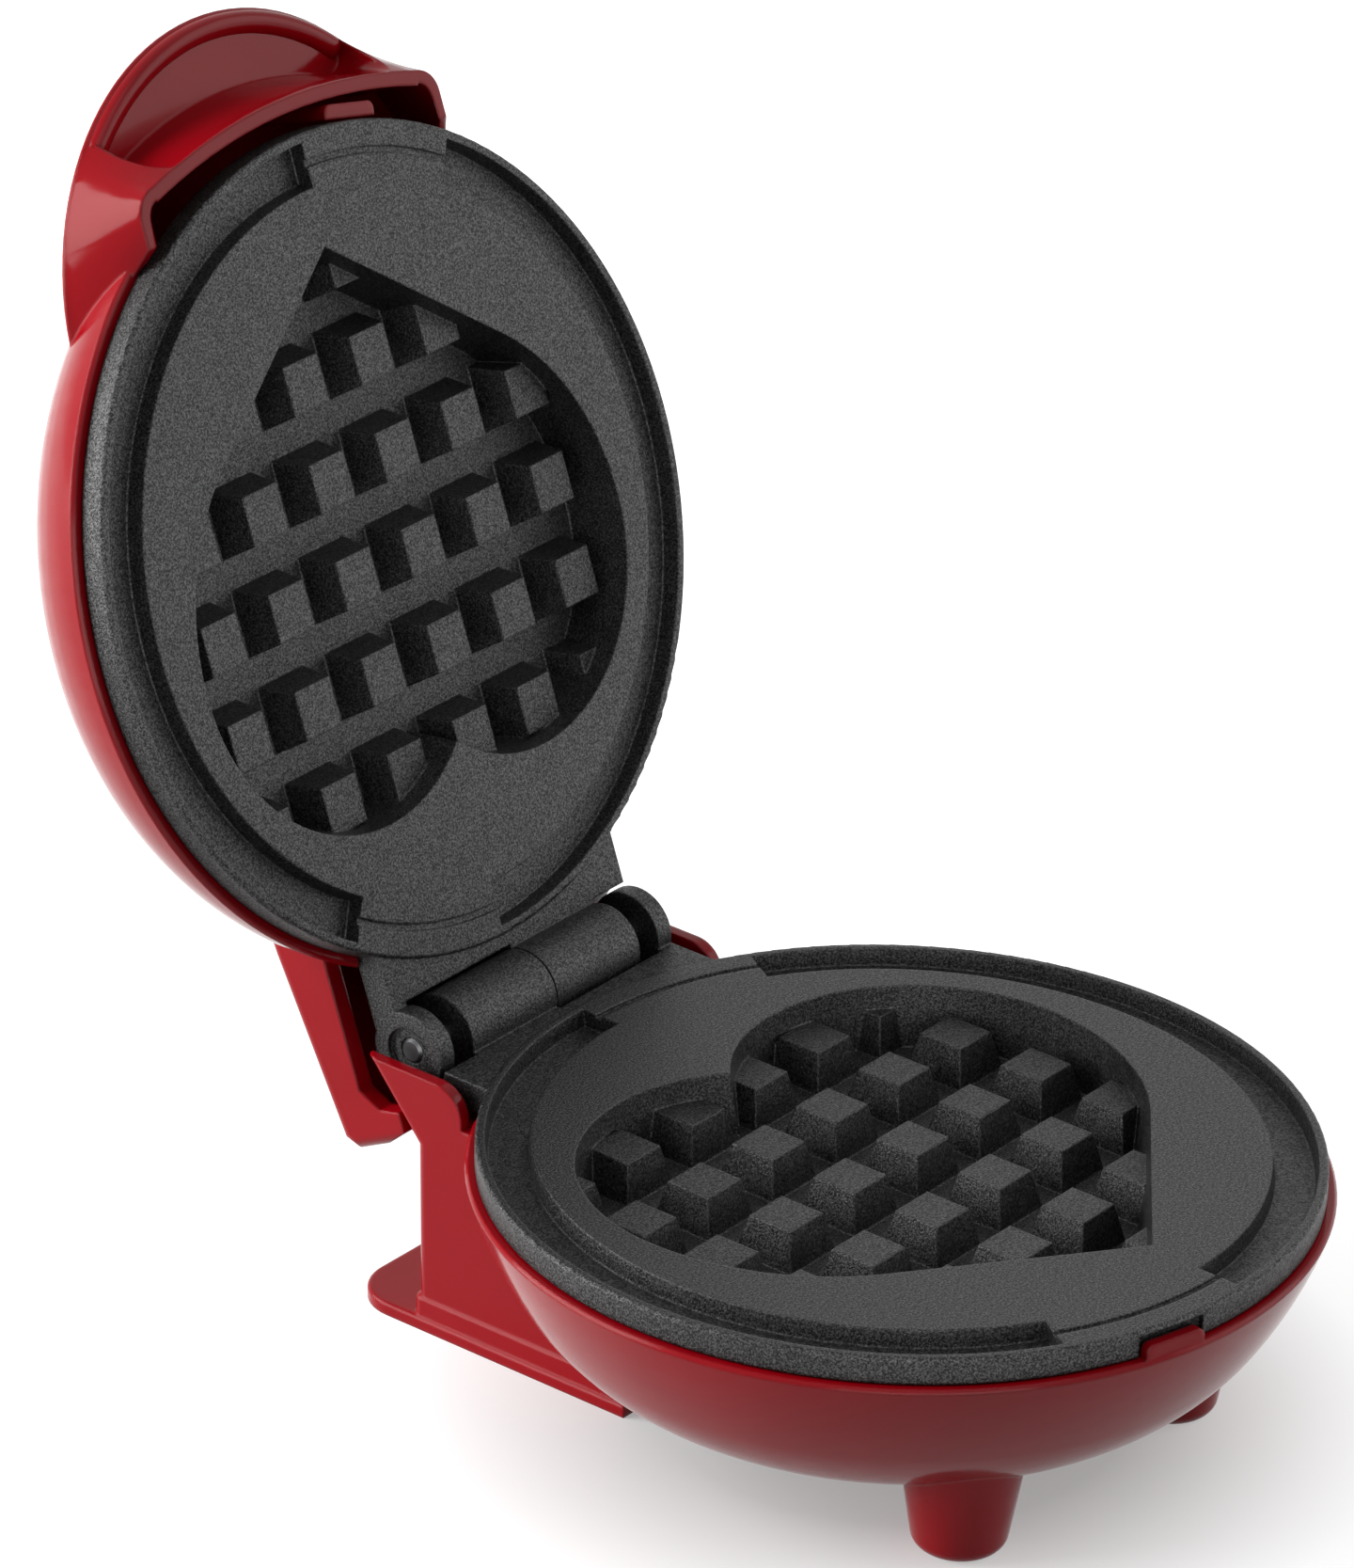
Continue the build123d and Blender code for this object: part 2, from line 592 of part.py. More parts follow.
def hood(inset=0.0):
    """Domed top of the handle, turned about its own upright axis."""
    knee = (HOOD_KNEE_R, HOOD_KNEE_Z)
    top = revolve(round_profile(HOOD_FLAT_R, HOOD_TOP, knee, (HOOD_R, HOOD_EDGE), inset), Axis.Z)
    if not inset:
        top = top + upright(0, 0, HOOD_UNDER, HOOD_EDGE, HOOD_R)
        top = chamfer(top.edges().group_by(Axis.Z)[0], HOOD_BEVEL)
    return Pos(0, HOOD_Y, 0) * top


def recess_face(half, curve_r, front_y):
    """Section of the recess: the skirt's curve behind, open to the front."""
    end_y = front_y + curve_r - sqrt(curve_r**2 - half**2)
    open_y = front_y - SKIRT_X
    wall = ThreePointArc((-half, end_y), (0, front_y), (half, end_y))
    rest = Polyline((half, end_y), (half, open_y), (-half, open_y), (-half, end_y))
    return make_face([wall] + rest.edges())


def recess(inset=0.0):
    """Finger recess under the brow, in front of the leaning skirt."""
    half = RECESS_X + inset
    low = recess_face(half, SKIRT_R, SKIRT_Y + inset)
    top = recess_face(half, SKIRT_TOP_R, SKIRT_Y - SKIRT_LEAN + inset)
    block = loft([Pos(0, 0, SKIRT_Z - 1) * low, Pos(0, 0, HOOD_UNDER + inset) * top], ruled=True)
    if not inset:
        ends = block.edges().filter_by(lambda e: abs(e.center().Z - HOOD_UNDER / 2) < 2 and e.center().Y > SKIRT_Y)
        block = fillet(ends, RECESS_ROUND)
    return block


def dome(inset=0.0):
    section = round_profile(DOME_FLAT_R, DOME_TOP, (DOME_KNEE_R, DOME_KNEE_Z), (RIM_R, CONTACT_Z - RIM_Z), inset)
    return revolve(section, Axis.Z)


def upper_housing():
    """Lid shell, drawn shut, heights from the contact plane."""
    rim = CONTACT_Z - RIM_Z
    shell = dome()
    shell = chamfer(shell.edges().group_by(Axis.Z)[0], RIM_LIP)
    back = [(HINGE_Y + out, z) for out, z in TAIL_BACK]
    tail = across(side_profile(
        [(TAIL_FRONT, TAIL_UNDER)] + back + [(TAIL_MID_Y, TAIL_MID_Z), (TAIL_FRONT, TAIL_FRONT_Z)]), TAIL_OUT)
    top_rear = tail.edges().filter_by(lambda e: abs(abs(e.center().X) - TAIL_OUT) < 0.01 and e.center().Z > TAIL_UNDER)
    tail = fillet(top_rear.filter_by(lambda e: e.center().Y > TAIL_FRONT + 1), TAIL_ROUND)
    shell = shell + tail + handle_block() + hood() - recess()

    inner = dome(WALL) + upright(0, 0, 0, rim, PLATE_R + SEAT_GAP)
    inner = inner + (handle_block(WALL) + hood(WALL) - recess(WALL))
    back = [(HINGE_Y + out, z) for out, z in TAIL_HOLLOW]
    pocket = across(side_profile(
        [(TAIL_FRONT - 10, 0)] + back + [(TAIL_MID_Y, TAIL_MID_Z - WALL), (TAIL_FRONT - 10, TAIL_FRONT_Z - WALL)]), CHEEK_IN)
    shell = shell - inner - pocket

    # Tab, plate bosses, shield posts and the hole for the indicator
    outline = dome() + handle_block() + hood()
    shell = shell + (lid_tab() & outline)
    front_places, rear_places = screw_places()
    seat = PLATE_GAP / 2 - PILLAR_END + BOSS_GAP
    for x, y in front_places + rear_places:
        shell = shell + (upright(x, y, seat, DOME_TOP, PILLAR_R) & dome())
        shell = shell - upright(x, y, seat - 1, seat + STUD_IN, SCREW_R + PIN_CLEARANCE)
    post = PLATE_GAP / 2 - SHIELD_Z + BOSS_GAP
    for x, y in shield_places():
        shell = shell + (upright(x, y, post, DOME_TOP, SHIELD_POST_R) & dome())
        shell = shell - upright(x, y, post - 1, post + SHIELD_SCREW + TIP_GAP, SHIELD_SCREW_R + PIN_CLEARANCE)
    shell = shell - upright(0, LENS_Y, 20, DOME_TOP + 1, LENS_R + SCREW_CLEARANCE)
    return shell


def heating_element():
    """Sheathed loop with its two cold ends and terminal pins, heights from the plate face."""
    half = radians(ELEMENT_OPEN / 2)
    x = ELEMENT_R * sin(half)
    y = ELEMENT_Y + ELEMENT_R * cos(half)
    section = Rot(90, 0, 0) * Circle(ELEMENT_TUBE)
    start = 90 + ELEMENT_OPEN / 2
    loop = Rot(0, 0, start) * revolve(Pos(ELEMENT_R, 0, 0) * section, Axis.Z, 360 - ELEMENT_OPEN)
    body = Pos(0, ELEMENT_Y, ELEMENT_Z) * loop
    for side in (-1, 1):
        place = Pos(side * x, y, ELEMENT_Z) * Rot(-90, 0, 0)
        body = body + place * Pos(0, 0, (ELEMENT_LEAD - ELEMENT_TUBE) / 2) * Cylinder(ELEMENT_TUBE, ELEMENT_LEAD + ELEMENT_TUBE)
        pin = Cylinder(ELEMENT_PIN_R, ELEMENT_PIN + 1)
        body = body + place * Pos(0, 0, ELEMENT_LEAD + (ELEMENT_PIN - 1) / 2) * pin
    return body


def strap(tube_r, z_axis, width):
    """Half-round strap over a tube along Y, with a tab each side flat against the plate."""
    r_in = tube_r + PIN_CLEARANCE
    r_out = r_in + CLIP_T
    top = HEART_UNDER - PIN_CLEARANCE
    saddle = Pos(0, 0, z_axis) * Rot(90, 0, 0) * Cylinder(r_out, width)
    cheeks = Pos(0, 0, (top + z_axis) / 2) * Box(2 * r_out, width, top - z_axis)
    tabs = Pos(0, 0, top - CLIP_T / 2) * Box(2 * (r_out + CLIP_TAB), width, CLIP_T)
    lane = Pos(0, 0, (top + z_axis) / 2 + 1) * Box(2 * r_in, width + 1, top - z_axis + 2)
    hollow = Pos(0, 0, z_axis) * Rot(90, 0, 0) * Cylinder(r_in, width + 1)
    body = (saddle - Pos(0, 0, top + r_out) * Box(2 * r_out + 1, width + 1, 2 * r_out)) + cheeks + tabs
    return body - lane - hollow


def element_clips():
    """Straps that hold the loop against the plate, heights from the plate face."""
    clips = []
    for angle in (-50, 50, 180):
        place = Pos(0, ELEMENT_Y, 0) * Rot(0, 0, angle) * Pos(ELEMENT_R, 0, 0)
        clips.append(place * strap(ELEMENT_TUBE + CLIP_EASE, ELEMENT_Z, CLIP_W))
    return Compound(clips)


def heat_shield():
    """Pressed dish between the loop and the housing, heights from the plate face."""
    dish = upright(0, 0, SHIELD_Z, SHIELD_Z + SHIELD_RIM, SHIELD_R)
    dish = dish - upright(0, 0, SHIELD_Z + SHIELD_T, SHIELD_Z + SHIELD_RIM + 1, SHIELD_R - SHIELD_T)
    for x, y in shield_places():
        dish = dish - upright(x, y, SHIELD_Z - 1, SHIELD_Z + SHIELD_T + 1, SHIELD_SCREW_R + SCREW_CLEARANCE)
    return dish


def shield_screws():
    screws = []
    for x, y in shield_places():
        top = SHIELD_Z + SHIELD_T
        shank = upright(x, y, SHIELD_Z - SHIELD_SCREW, top + SHIELD_HEAD / 2, SHIELD_SCREW_R)
        screws.append(shank + upright(x, y, top, top + SHIELD_HEAD, SHIELD_HEAD_R))
    return Compound(screws)


def thermostat():
    """Disc thermostat against the middle of the plate, heights from the plate face."""
    top = HEART_UNDER - ELEMENT_GAP
    z = top - THERMOSTAT_H + BLADE_T
    body = upright(0, ELEMENT_Y, top - THERMOSTAT_H, top, THERMOSTAT_R)
    blades = Pos(0, ELEMENT_Y, z) * Box(2 * (THERMOSTAT_R + BLADE_OUT), BLADE_W, BLADE_T)
    return body + blades


def thermostat_spring():
    """Bowed strip that presses the thermostat up, standing on the shield."""
    low = SHIELD_Z + SHIELD_T + PIN_CLEARANCE
    high = HEART_UNDER - ELEMENT_GAP - THERMOSTAT_H - PIN_CLEARANCE
    bow = ThreePointArc((0, -SPRING_HALF, low), (0, 0, high - SPRING_T), (0, SPRING_HALF, low))
    over = ThreePointArc((0, -SPRING_HALF, low + SPRING_T), (0, 0, high), (0, SPRING_HALF, low + SPRING_T))
    ends = [Line(bow @ 0, over @ 0), Line(bow @ 1, over @ 1)]
    return Pos(0, ELEMENT_Y, 0) * across(make_face([bow, over] + ends), SPRING_W / 2)


def thermal_fuse():
    """Sleeved fuse with its two wires, heights from the plate face."""
    z = HEART_UNDER - ELEMENT_GAP - FUSE_R
    lie = Pos(FUSE_X, FUSE_Y, z) * Rot(90, 0, 0)
    return lie * (Cylinder(FUSE_R, FUSE_L) + Cylinder(FUSE_WIRE_R, FUSE_L + 2 * FUSE_WIRE))


def fuse_clip():
    z = HEART_UNDER - ELEMENT_GAP - FUSE_R
    return Pos(FUSE_X, FUSE_Y, 0) * strap(FUSE_R + CLIP_EASE, z, CLIP_W)


def hinge_pin():
    end = EAR_IN + EAR_T - EAR_POCKET + PIN_PROUD
    pin = rod(-end, end, PIN_R, HINGE_Y, CONTACT_Z)
    return chamfer(pin.edges().filter_by(GeomType.CIRCLE), PIN_CHAMFER)


def plate_screw(x, y, seat, tip):
    head = upright(x, y, seat - SCREW_HEAD, seat, SCREW_HEAD_R)
    drive = Pos(x, y, seat - SCREW_HEAD) * Box(SCREW_SLOT, 2 * SCREW_HEAD_R - 1.6, 1.6)
    return head + upright(x, y, seat - 1, tip, SCREW_R) - drive


def plate_screws(places, seat):
    tip = PLATE_FACE - PLATE_BAND - TIP_GAP
    return Compound([plate_screw(x, y, seat, tip) for x, y in places])


def foot_plugs():
    plugs = []
    for side in (-1, 1):
        plug = upright(side * FOOT_X, FOOT_Y, PLUG_IN, PLUG_IN + PLUG_H, FOOT_BORE - PIN_CLEARANCE)
        plugs.append(plug)
    return Compound(plugs)


def base_cover():
    """Plate let into the underside of the column, with countersunk screw holes."""
    y0 = COLUMN_FRONT + WALL + COVER_GAP
    y1 = COLUMN_Y - WALL - COVER_GAP
    size_x = 2 * (CHEEK_IN - COVER_GAP)
    cover = Pos(0, (y0 + y1) / 2, COVER_Z + COVER_T / 2) * Box(size_x, y1 - y0, COVER_T)
    for x, y in cover_posts():
        cover = cover - upright(x, y, COVER_Z - 1, COVER_Z + COVER_T + 1, SCREW_R + SCREW_CLEARANCE)
        wide = SCREW_HEAD_R + SCREW_CLEARANCE
        narrow = SCREW_R + SCREW_CLEARANCE
        cover = cover - upright(x, y, COVER_Z, COVER_Z + FLAT_HEAD, wide, narrow)
    for x in (-VENT_X, 0, VENT_X):
        cover = cover - Pos(x, VENT_Y, COVER_Z) * Box(VENT_W, VENT_L, 3 * COVER_T)
    return cover


def cover_screws():
    screws = []
    for x, y in cover_posts():
        head = upright(x, y, COVER_Z, COVER_Z + FLAT_HEAD, SCREW_HEAD_R, SCREW_R)
        shank = upright(x, y, COVER_Z + FLAT_HEAD / 2, COVER_Z + COVER_T + COVER_SCREW - TIP_GAP, SCREW_R)
        slot = Pos(x, y, COVER_Z) * Box(SCREW_SLOT, 2 * SCREW_HEAD_R - 2.0, 1.2)
        screws.append(head + shank - slot)
    return Compound(screws)


def terminal_block():
    """Two-way block on the cover, its wire holes facing the front and rear."""
    z0 = COVER_Z + COVER_T + BOSS_GAP
    body = Pos(0, BLOCK_AT_Y, z0 + BLOCK_Z / 2) * Box(BLOCK_X, BLOCK_Y, BLOCK_Z)
    for side in (-1, 1):
        x = side * BLOCK_X / 4
        hole = Rot(90, 0, 0) * Cylinder(BLOCK_HOLE_R, BLOCK_Y + 1)
        body = body - Pos(x, BLOCK_AT_Y, z0 + BLOCK_Z / 2) * hole
        body = body - upright(x, BLOCK_AT_Y, z0 + BLOCK_Z / 2, z0 + BLOCK_Z + 1, BLOCK_HOLE_R)
    return body


def cord_gland():
    """Rubber bush in the rear face of the column, with the bore for a cord."""
    lie = Pos(0, COLUMN_Y, CORD_Z) * Rot(-90, 0, 0)
    gap = GLAND_CLEARANCE
    body = Pos(0, 0, -WALL / 2) * Cylinder(GLAND_R, WALL + 2 * GLAND_LIP + 2 * gap)
    body = body + Pos(0, 0, gap + GLAND_LIP / 2) * Cylinder(GLAND_FLANGE_R, GLAND_LIP)
    body = body + Pos(0, 0, -WALL - gap - GLAND_LIP / 2) * Cylinder(GLAND_FLANGE_R, GLAND_LIP)
    body = body - Cylinder(CORD_R, 8 * WALL)
    return lie * body


def indicator_lens():
    """Clear button in the crown of the lid, heights from the contact plane with the lid shut."""
    under = DOME_TOP - WALL
    body = upright(0, LENS_Y, under - BOSS_GAP, DOME_TOP + LENS_OUT, LENS_R)
    return body + upright(0, LENS_Y, under - BOSS_GAP - LENS_FLANGE_T, under - BOSS_GAP, LENS_FLANGE_R)


def indicator_lamp():
    z = DOME_TOP - WALL - 2 * BOSS_GAP - LENS_FLANGE_T - LAMP_R
    return Pos(0, LENS_Y, z) * Rot(90, 0, 0) * Cylinder(LAMP_R, LAMP_L)


def upper_studs():
    """Push-in studs that hold the upper plate to the lid, heights from the contact plane."""
    seat = PLATE_GAP / 2 - PILLAR_END
    studs = []
    front_places, rear_places = screw_places()
    for x, y in front_places + rear_places:
        studs.append(upright(x, y, seat - STUD_OUT, seat + STUD_IN - TIP_GAP, SCREW_R))
    return Compound(studs)


# Base, standing on the floor
on_lower = Pos(0, 0, PLATE_FACE)
front_places, rear_places = screw_places()
nodes["lower_housing"] = lower_housing()
nodes["base_cover"] = base_cover()
nodes["base_cover_screws"] = cover_screws()
nodes["foot_plugs"] = foot_plugs()
nodes["front_plate_screws"] = plate_screws(front_places, FRONT_SEAT)
nodes["rear_plate_screws"] = plate_screws(rear_places, REAR_SEAT)
nodes["terminal_block"] = terminal_block()
nodes["cord_gland"] = cord_gland()
nodes["hinge_pin"] = hinge_pin()
nodes["lower_cooking_plate"] = on_lower * cooking_plate()
nodes["lower_heating_element"] = on_lower * heating_element()
nodes["lower_element_clips"] = on_lower * element_clips()
nodes["lower_heat_shield"] = on_lower * heat_shield()
nodes["lower_shield_screws"] = on_lower * shield_screws()
nodes["thermostat"] = on_lower * thermostat()
nodes["thermostat_spring"] = on_lower * thermostat_spring()
nodes["thermal_fuse"] = on_lower * thermal_fuse()
nodes["thermal_fuse_clip"] = on_lower * fuse_clip()

# Lid, turned open about the hinge
turned_over = Pos(0, 0, PLATE_GAP / 2) * Rot(0, 180, 0)
lid = {
    "upper_housing": upper_housing(),
    "upper_cooking_plate": turned_over * cooking_plate(),
    "upper_heating_element": turned_over * heating_element(),
    "upper_element_clips": turned_over * element_clips(),
    "upper_heat_shield": turned_over * heat_shield(),
    "upper_shield_screws": turned_over * shield_screws(),
    "upper_plate_studs": upper_studs(),
    "indicator_lens": indicator_lens(),
    "indicator_lamp": indicator_lamp(),
}
for name, shape in lid.items():
    nodes[name] = Pos(0, HINGE_Y, CONTACT_Z) * Rot(-LID_OPEN, 0, 0) * Pos(0, -HINGE_Y, 0) * shape

# Origin in the middle of the footprint, on the floor
box = Compound(list(nodes.values())).bounding_box()
shift = Vector(-(box.min.X + box.max.X) / 2, -(box.min.Y + box.max.Y) / 2, -box.min.Z)
os.makedirs("parts", exist_ok=True)
for name, shape in nodes.items():
    export_step(Pos(shift) * shape, "parts/" + name + ".step")
print("moved by", shift)
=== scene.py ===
import json
import math

import bpy
from mathutils import Matrix, Vector


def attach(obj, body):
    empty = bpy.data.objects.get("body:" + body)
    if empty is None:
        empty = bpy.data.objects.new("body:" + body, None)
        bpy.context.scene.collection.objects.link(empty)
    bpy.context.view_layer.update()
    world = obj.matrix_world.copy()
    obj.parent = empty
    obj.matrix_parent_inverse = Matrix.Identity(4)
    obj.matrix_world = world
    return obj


# Mini waffle maker: looks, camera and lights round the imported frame. Metres, in the row's own frame.

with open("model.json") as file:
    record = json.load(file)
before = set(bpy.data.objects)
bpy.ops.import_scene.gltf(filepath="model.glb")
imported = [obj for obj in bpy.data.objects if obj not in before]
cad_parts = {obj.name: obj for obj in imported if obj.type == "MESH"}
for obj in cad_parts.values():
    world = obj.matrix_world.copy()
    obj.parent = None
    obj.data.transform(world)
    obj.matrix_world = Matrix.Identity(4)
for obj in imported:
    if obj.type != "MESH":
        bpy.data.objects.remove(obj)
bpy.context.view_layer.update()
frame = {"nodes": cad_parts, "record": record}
nodes = frame["nodes"]

# Where the object's main parts lie, from the frame
joint = frame["record"]["behaviour"]["joints"][0]
HINGE = Vector(joint["pos_m"])
LID_TRAVEL = math.radians(joint["range_deg"][1])   # from standing open, as packed, to shut
PLATE_TO_HINGE = 0.0709
PLATE_CENTRE = HINGE - Vector((0, PLATE_TO_HINGE, 0))

# Camera, measured from the photograph
VIEW_AZIMUTH = math.radians(-52.175)
VIEW_ELEVATION = math.radians(26.931)
VIEW_ROLL = math.radians(1.843)
VIEW_DISTANCE = 1.41905
VIEW_RIGHT = 0.032658       # how far the view's middle lies from the lower plate's centre
VIEW_UP = -0.05192
LENS = 224.62               # millimetres, on the sensor's long side
SENSOR = 36
CLIP_START = 0.05
CLIP_END = 20

# Light
AMBIENT = 0.16
LAMPS = {
    "key": dict(place=(-0.84, 1.03, 0.52), aim=(0, 0, 0.08), size=1.1, power=29.0),
    "glint": dict(place=(-0.95, -1.05, 0.35), aim=(0, 0, 0.08), size=1.3, power=16.0),
    "front_right": dict(place=(0.95, -0.95, 0.55), aim=(0, 0, 0.1), size=1.0, power=5.0),
    "top": dict(place=(-0.1, -0.4, 1.3), aim=(0, 0, 0), size=0.8, power=2.0),
}
GLOSS_ONLY = "glint"        # the lamp that shows in gloss and lights nothing else

# Floor
FLOOR_HALF = 6.0
# The floor's colour has a slight cyan cast that cancels the red light the shell throws into its
# shadow.
FLOOR_LOW = (0.46, 0.49, 0.49)
FLOOR_HIGH = (0.48, 0.51, 0.51)
# How white the floor glows by itself, at a distance from the plates' axis: dimmed near the plates as a
# painted shadow under the object, full white further out
FLOOR_GLOW_AND_PAINTED_SHADOW = ((0.035, 0.29), (0.075, 0.8), (0.25, 1.0))

# Softness of edges, by slot: bevel on the mesh, and how far light and shade go round an edge
SHELL = "red_gloss_shell"
COATING = "nonstick_coating"
BEVEL = {SHELL: 0.0006, COATING: 0.00035}
ROUND = {SHELL: 0.0007, COATING: 0.0005}
ROUND_SAMPLES = 6
BEVEL_SEGMENTS = 2
BEVEL_FROM = math.radians(35)
WELD_WITHIN = 1e-6

# Rim round the brow's underside, on the shut lid
BROW_Y = -0.0398            # axis of the brow, from the plates' axis
# Its section: radius from the brow's axis, height over the contact plane
RIM_SECTION = (
    (0.0409, 0.0146),
    (0.0408, 0.0139),
    (0.0406, 0.0132),
    (0.0402, 0.01275),
    (0.0396, 0.0125),
    (0.0388, 0.01255),
    (0.0380, 0.0129),
    (0.0374, 0.0135),
    (0.0371, 0.0146),
)
RIM_END = math.radians(43)
RIM_STEPS = 60

# Plain finishes, by slot
PLAIN = {
    "steel": dict(colour=(0.55, 0.55, 0.56), roughness=0.35, metallic=1.0),
    "element_sheath": dict(colour=(0.25, 0.24, 0.23), roughness=0.5, metallic=1.0),
    "shield_sheet": dict(colour=(0.75, 0.75, 0.76), roughness=0.4, metallic=1.0),
    "thermostat_case": dict(colour=(0.6, 0.6, 0.6), roughness=0.4, metallic=1.0),
    "black_plastic": dict(colour=(0.03, 0.03, 0.032), roughness=0.5),
    "ivory_plastic": dict(colour=(0.7, 0.66, 0.56), roughness=0.5),
    "fuse_sleeve": dict(colour=(0.8, 0.78, 0.72), roughness=0.9, grain=2000, bump=0.4),
    "black_rubber": dict(colour=(0.02, 0.02, 0.02), roughness=0.8),
    "amber_lens": dict(colour=(0.8, 0.25, 0.05), roughness=0.15),
    "lamp_glass": dict(colour=(0.9, 0.7, 0.5), roughness=0.1),
}
PIN = "hinge_pin"           # the one steel piece painted darker: a shaded copy of the steel, painted shade for the ear's pocket that the pin's end sits in
PIN_SHADED_STEEL = dict(colour=(0.10, 0.10, 0.105), roughness=0.4, metallic=1.0)
TONE_SPREAD = (0.88, 1.1)   # how far a plain finish varies round its colour
GLOSS_SPREAD = (0.85, 1.15)


def add_object(name, data):
    made = bpy.data.objects.new(name, data)
    bpy.context.scene.collection.objects.link(made)
    return made


def camera():
    azimuth, elevation, roll = VIEW_AZIMUTH, VIEW_ELEVATION, VIEW_ROLL
    flat = math.cos(elevation)
    back = Vector((math.sin(azimuth) * flat, -math.cos(azimuth) * flat, math.sin(elevation)))
    flat_right = (-back).cross(Vector((0, 0, 1))).normalized()
    flat_up = flat_right.cross(-back)
    right = flat_right * math.cos(roll) + flat_up * math.sin(roll)
    up = flat_up * math.cos(roll) - flat_right * math.sin(roll)
    place = PLATE_CENTRE + back * VIEW_DISTANCE - right * VIEW_RIGHT - up * VIEW_UP
    data = bpy.data.cameras.new("camera")
    data.lens = LENS
    data.sensor_fit = "AUTO"
    data.sensor_width = SENSOR
    data.clip_start = CLIP_START
    data.clip_end = CLIP_END
    cam = add_object("camera", data)
    turn = Matrix((right, up, back)).transposed().to_4x4()
    cam.matrix_world = Matrix.Translation(place) @ turn
    bpy.context.scene.camera = cam


class Shader:
    """Small helper for node materials."""

    def __init__(self, name):
        self.material = bpy.data.materials.new(name)
        self.material.use_nodes = True
        self.tree = self.material.node_tree
        self.main = self.tree.nodes["Principled BSDF"]
        self.place = self.node("ShaderNodeTexCoord").outputs["Object"]

    def node(self, kind, **values):
        made = self.tree.nodes.new(kind)
        for key, value in values.items():
            made.inputs[key].default_value = value
        return made

    def link(self, a, b):
        self.tree.links.new(a, b)

    def set(self, **values):
        for key, value in values.items():
            self.main.inputs[key.replace("_", " ")].default_value = value

    def drive(self, source, name):
        """Let a node's output give one of the surface's own values."""
        self.link(source, self.main.inputs[name])

    def noise(self, scale, detail=3.0, roughness=0.5):
        made = self.node("ShaderNodeTexNoise", Scale=scale, Detail=detail, Roughness=roughness)
        self.link(self.place, made.inputs["Vector"])
        return made.outputs["Fac"]

    def ramp(self, source, stops):
        """Colours, or greys given as one number, at places from 0 to 1."""
        made = self.node("ShaderNodeValToRGB")
        bar = made.color_ramp.elements
        while len(bar) < len(stops):
            bar.new(0.5)
        for element, (at, colour) in zip(bar, stops):
            element.position = at
            element.color = (*colour, 1) if isinstance(colour, tuple) else (colour, colour, colour, 1)
        self.link(source, made.inputs["Fac"])
        return made.outputs["Color"]

    def calculate(self, operation, *values):
        made = self.node("ShaderNodeMath")
        made.operation = operation
        for socket, value in zip(made.inputs, values):
            if isinstance(value, float):
                socket.default_value = value
            else:
                self.link(value, socket)
        return made.outputs[0]

    def rounded(self, radius):
        made = self.node("ShaderNodeBevel", Radius=radius)
        made.samples = ROUND_SAMPLES
        return made.outputs["Normal"]

    def bump(self, source, strength, distance, normal=None):
        made = self.node("ShaderNodeBump", Strength=strength, Distance=distance)
        self.link(source, made.inputs["Height"])
        if normal:
            self.link(normal, made.inputs["Normal"])
        self.drive(made.outputs["Normal"], "Normal")


def red_shell():
    """Deep red moulded plastic, polished, with a faint waviness and a finer orange peel."""
    s = Shader(SHELL)
    s.set(Roughness=0.13, Specular_IOR_Level=0.15)
    tint = s.ramp(s.noise(40, 2), [(0.3, (0.315, 0.0012, 0.0060)), (0.7, (0.355, 0.0018, 0.0075))])
    s.drive(tint, "Base Color")
    peel = s.noise(700, 2)
    waves = s.calculate("MULTIPLY_ADD", peel, 0.02, s.noise(11, 2))
    s.bump(waves, strength=0.1, distance=0.0006, normal=s.rounded(ROUND[SHELL]))
    return s.material


def nonstick():
    """Charcoal coating: a fine sparkling grain, and edges that wear round."""
    s = Shader(COATING)
    grain = s.noise(3000, detail=3, roughness=0.75)
    s.drive(s.ramp(grain, [(0.42, 0.003), (0.52, 0.009), (0.64, 0.045)]), "Base Color")
    blur = s.noise(1300, detail=2, roughness=0.6)
    s.drive(s.calculate("MULTIPLY_ADD", blur, 0.5, 0.14), "Roughness")
    s.drive(s.ramp(grain, [(0.42, 0.17), (0.6, 0.75)]), "Specular IOR Level")
    s.bump(grain, strength=0.6, distance=0.0002, normal=s.rounded(ROUND[COATING]))
    return s.material


def plain(name, colour, roughness, metallic=0.0, grain=400, bump=0.1):
    """An even finish, with a little variation in tone and gloss."""
    s = Shader(name)
    s.set(Metallic=metallic)
    low, high = (tuple(min(1.0, c * spread) for c in colour) for spread in TONE_SPREAD)
    s.drive(s.ramp(s.noise(grain), [(0.35, low), (0.65, high)]), "Base Color")
    low, high = (roughness * spread for spread in GLOSS_SPREAD)
    s.drive(s.ramp(s.noise(grain * 0.3), [(0.3, low), (0.7, high)]), "Roughness")
    s.bump(s.noise(grain * 1.5), strength=bump, distance=0.0001)
    return s.material


def soften(obj, width):
    """Rounded edges on a node's own mesh, by modifiers alone."""
    obj.modifiers.new("weld", "WELD").merge_threshold = WELD_WITHIN
    bevel = obj.modifiers.new("bevel", "BEVEL")
    bevel.width = width
    bevel.segments = BEVEL_SEGMENTS
    bevel.limit_method = "ANGLE"
    bevel.angle_limit = BEVEL_FROM
    obj.modifiers.new("normals", "WEIGHTED_NORMAL").keep_sharp = False


def paint(obj, material):
    if not obj.material_slots:
        obj.data.materials.append(material)
    for slot in obj.material_slots:
        slot.material = material


def lid_point(x, y, z):
    """Where a point of the shut lid is with the lid open.

    It is given from the plates' axis and the contact plane.
    """
    return HINGE + Matrix.Rotation(-LID_TRAVEL, 3, "X") @ Vector((x, y - PLATE_TO_HINGE, z))


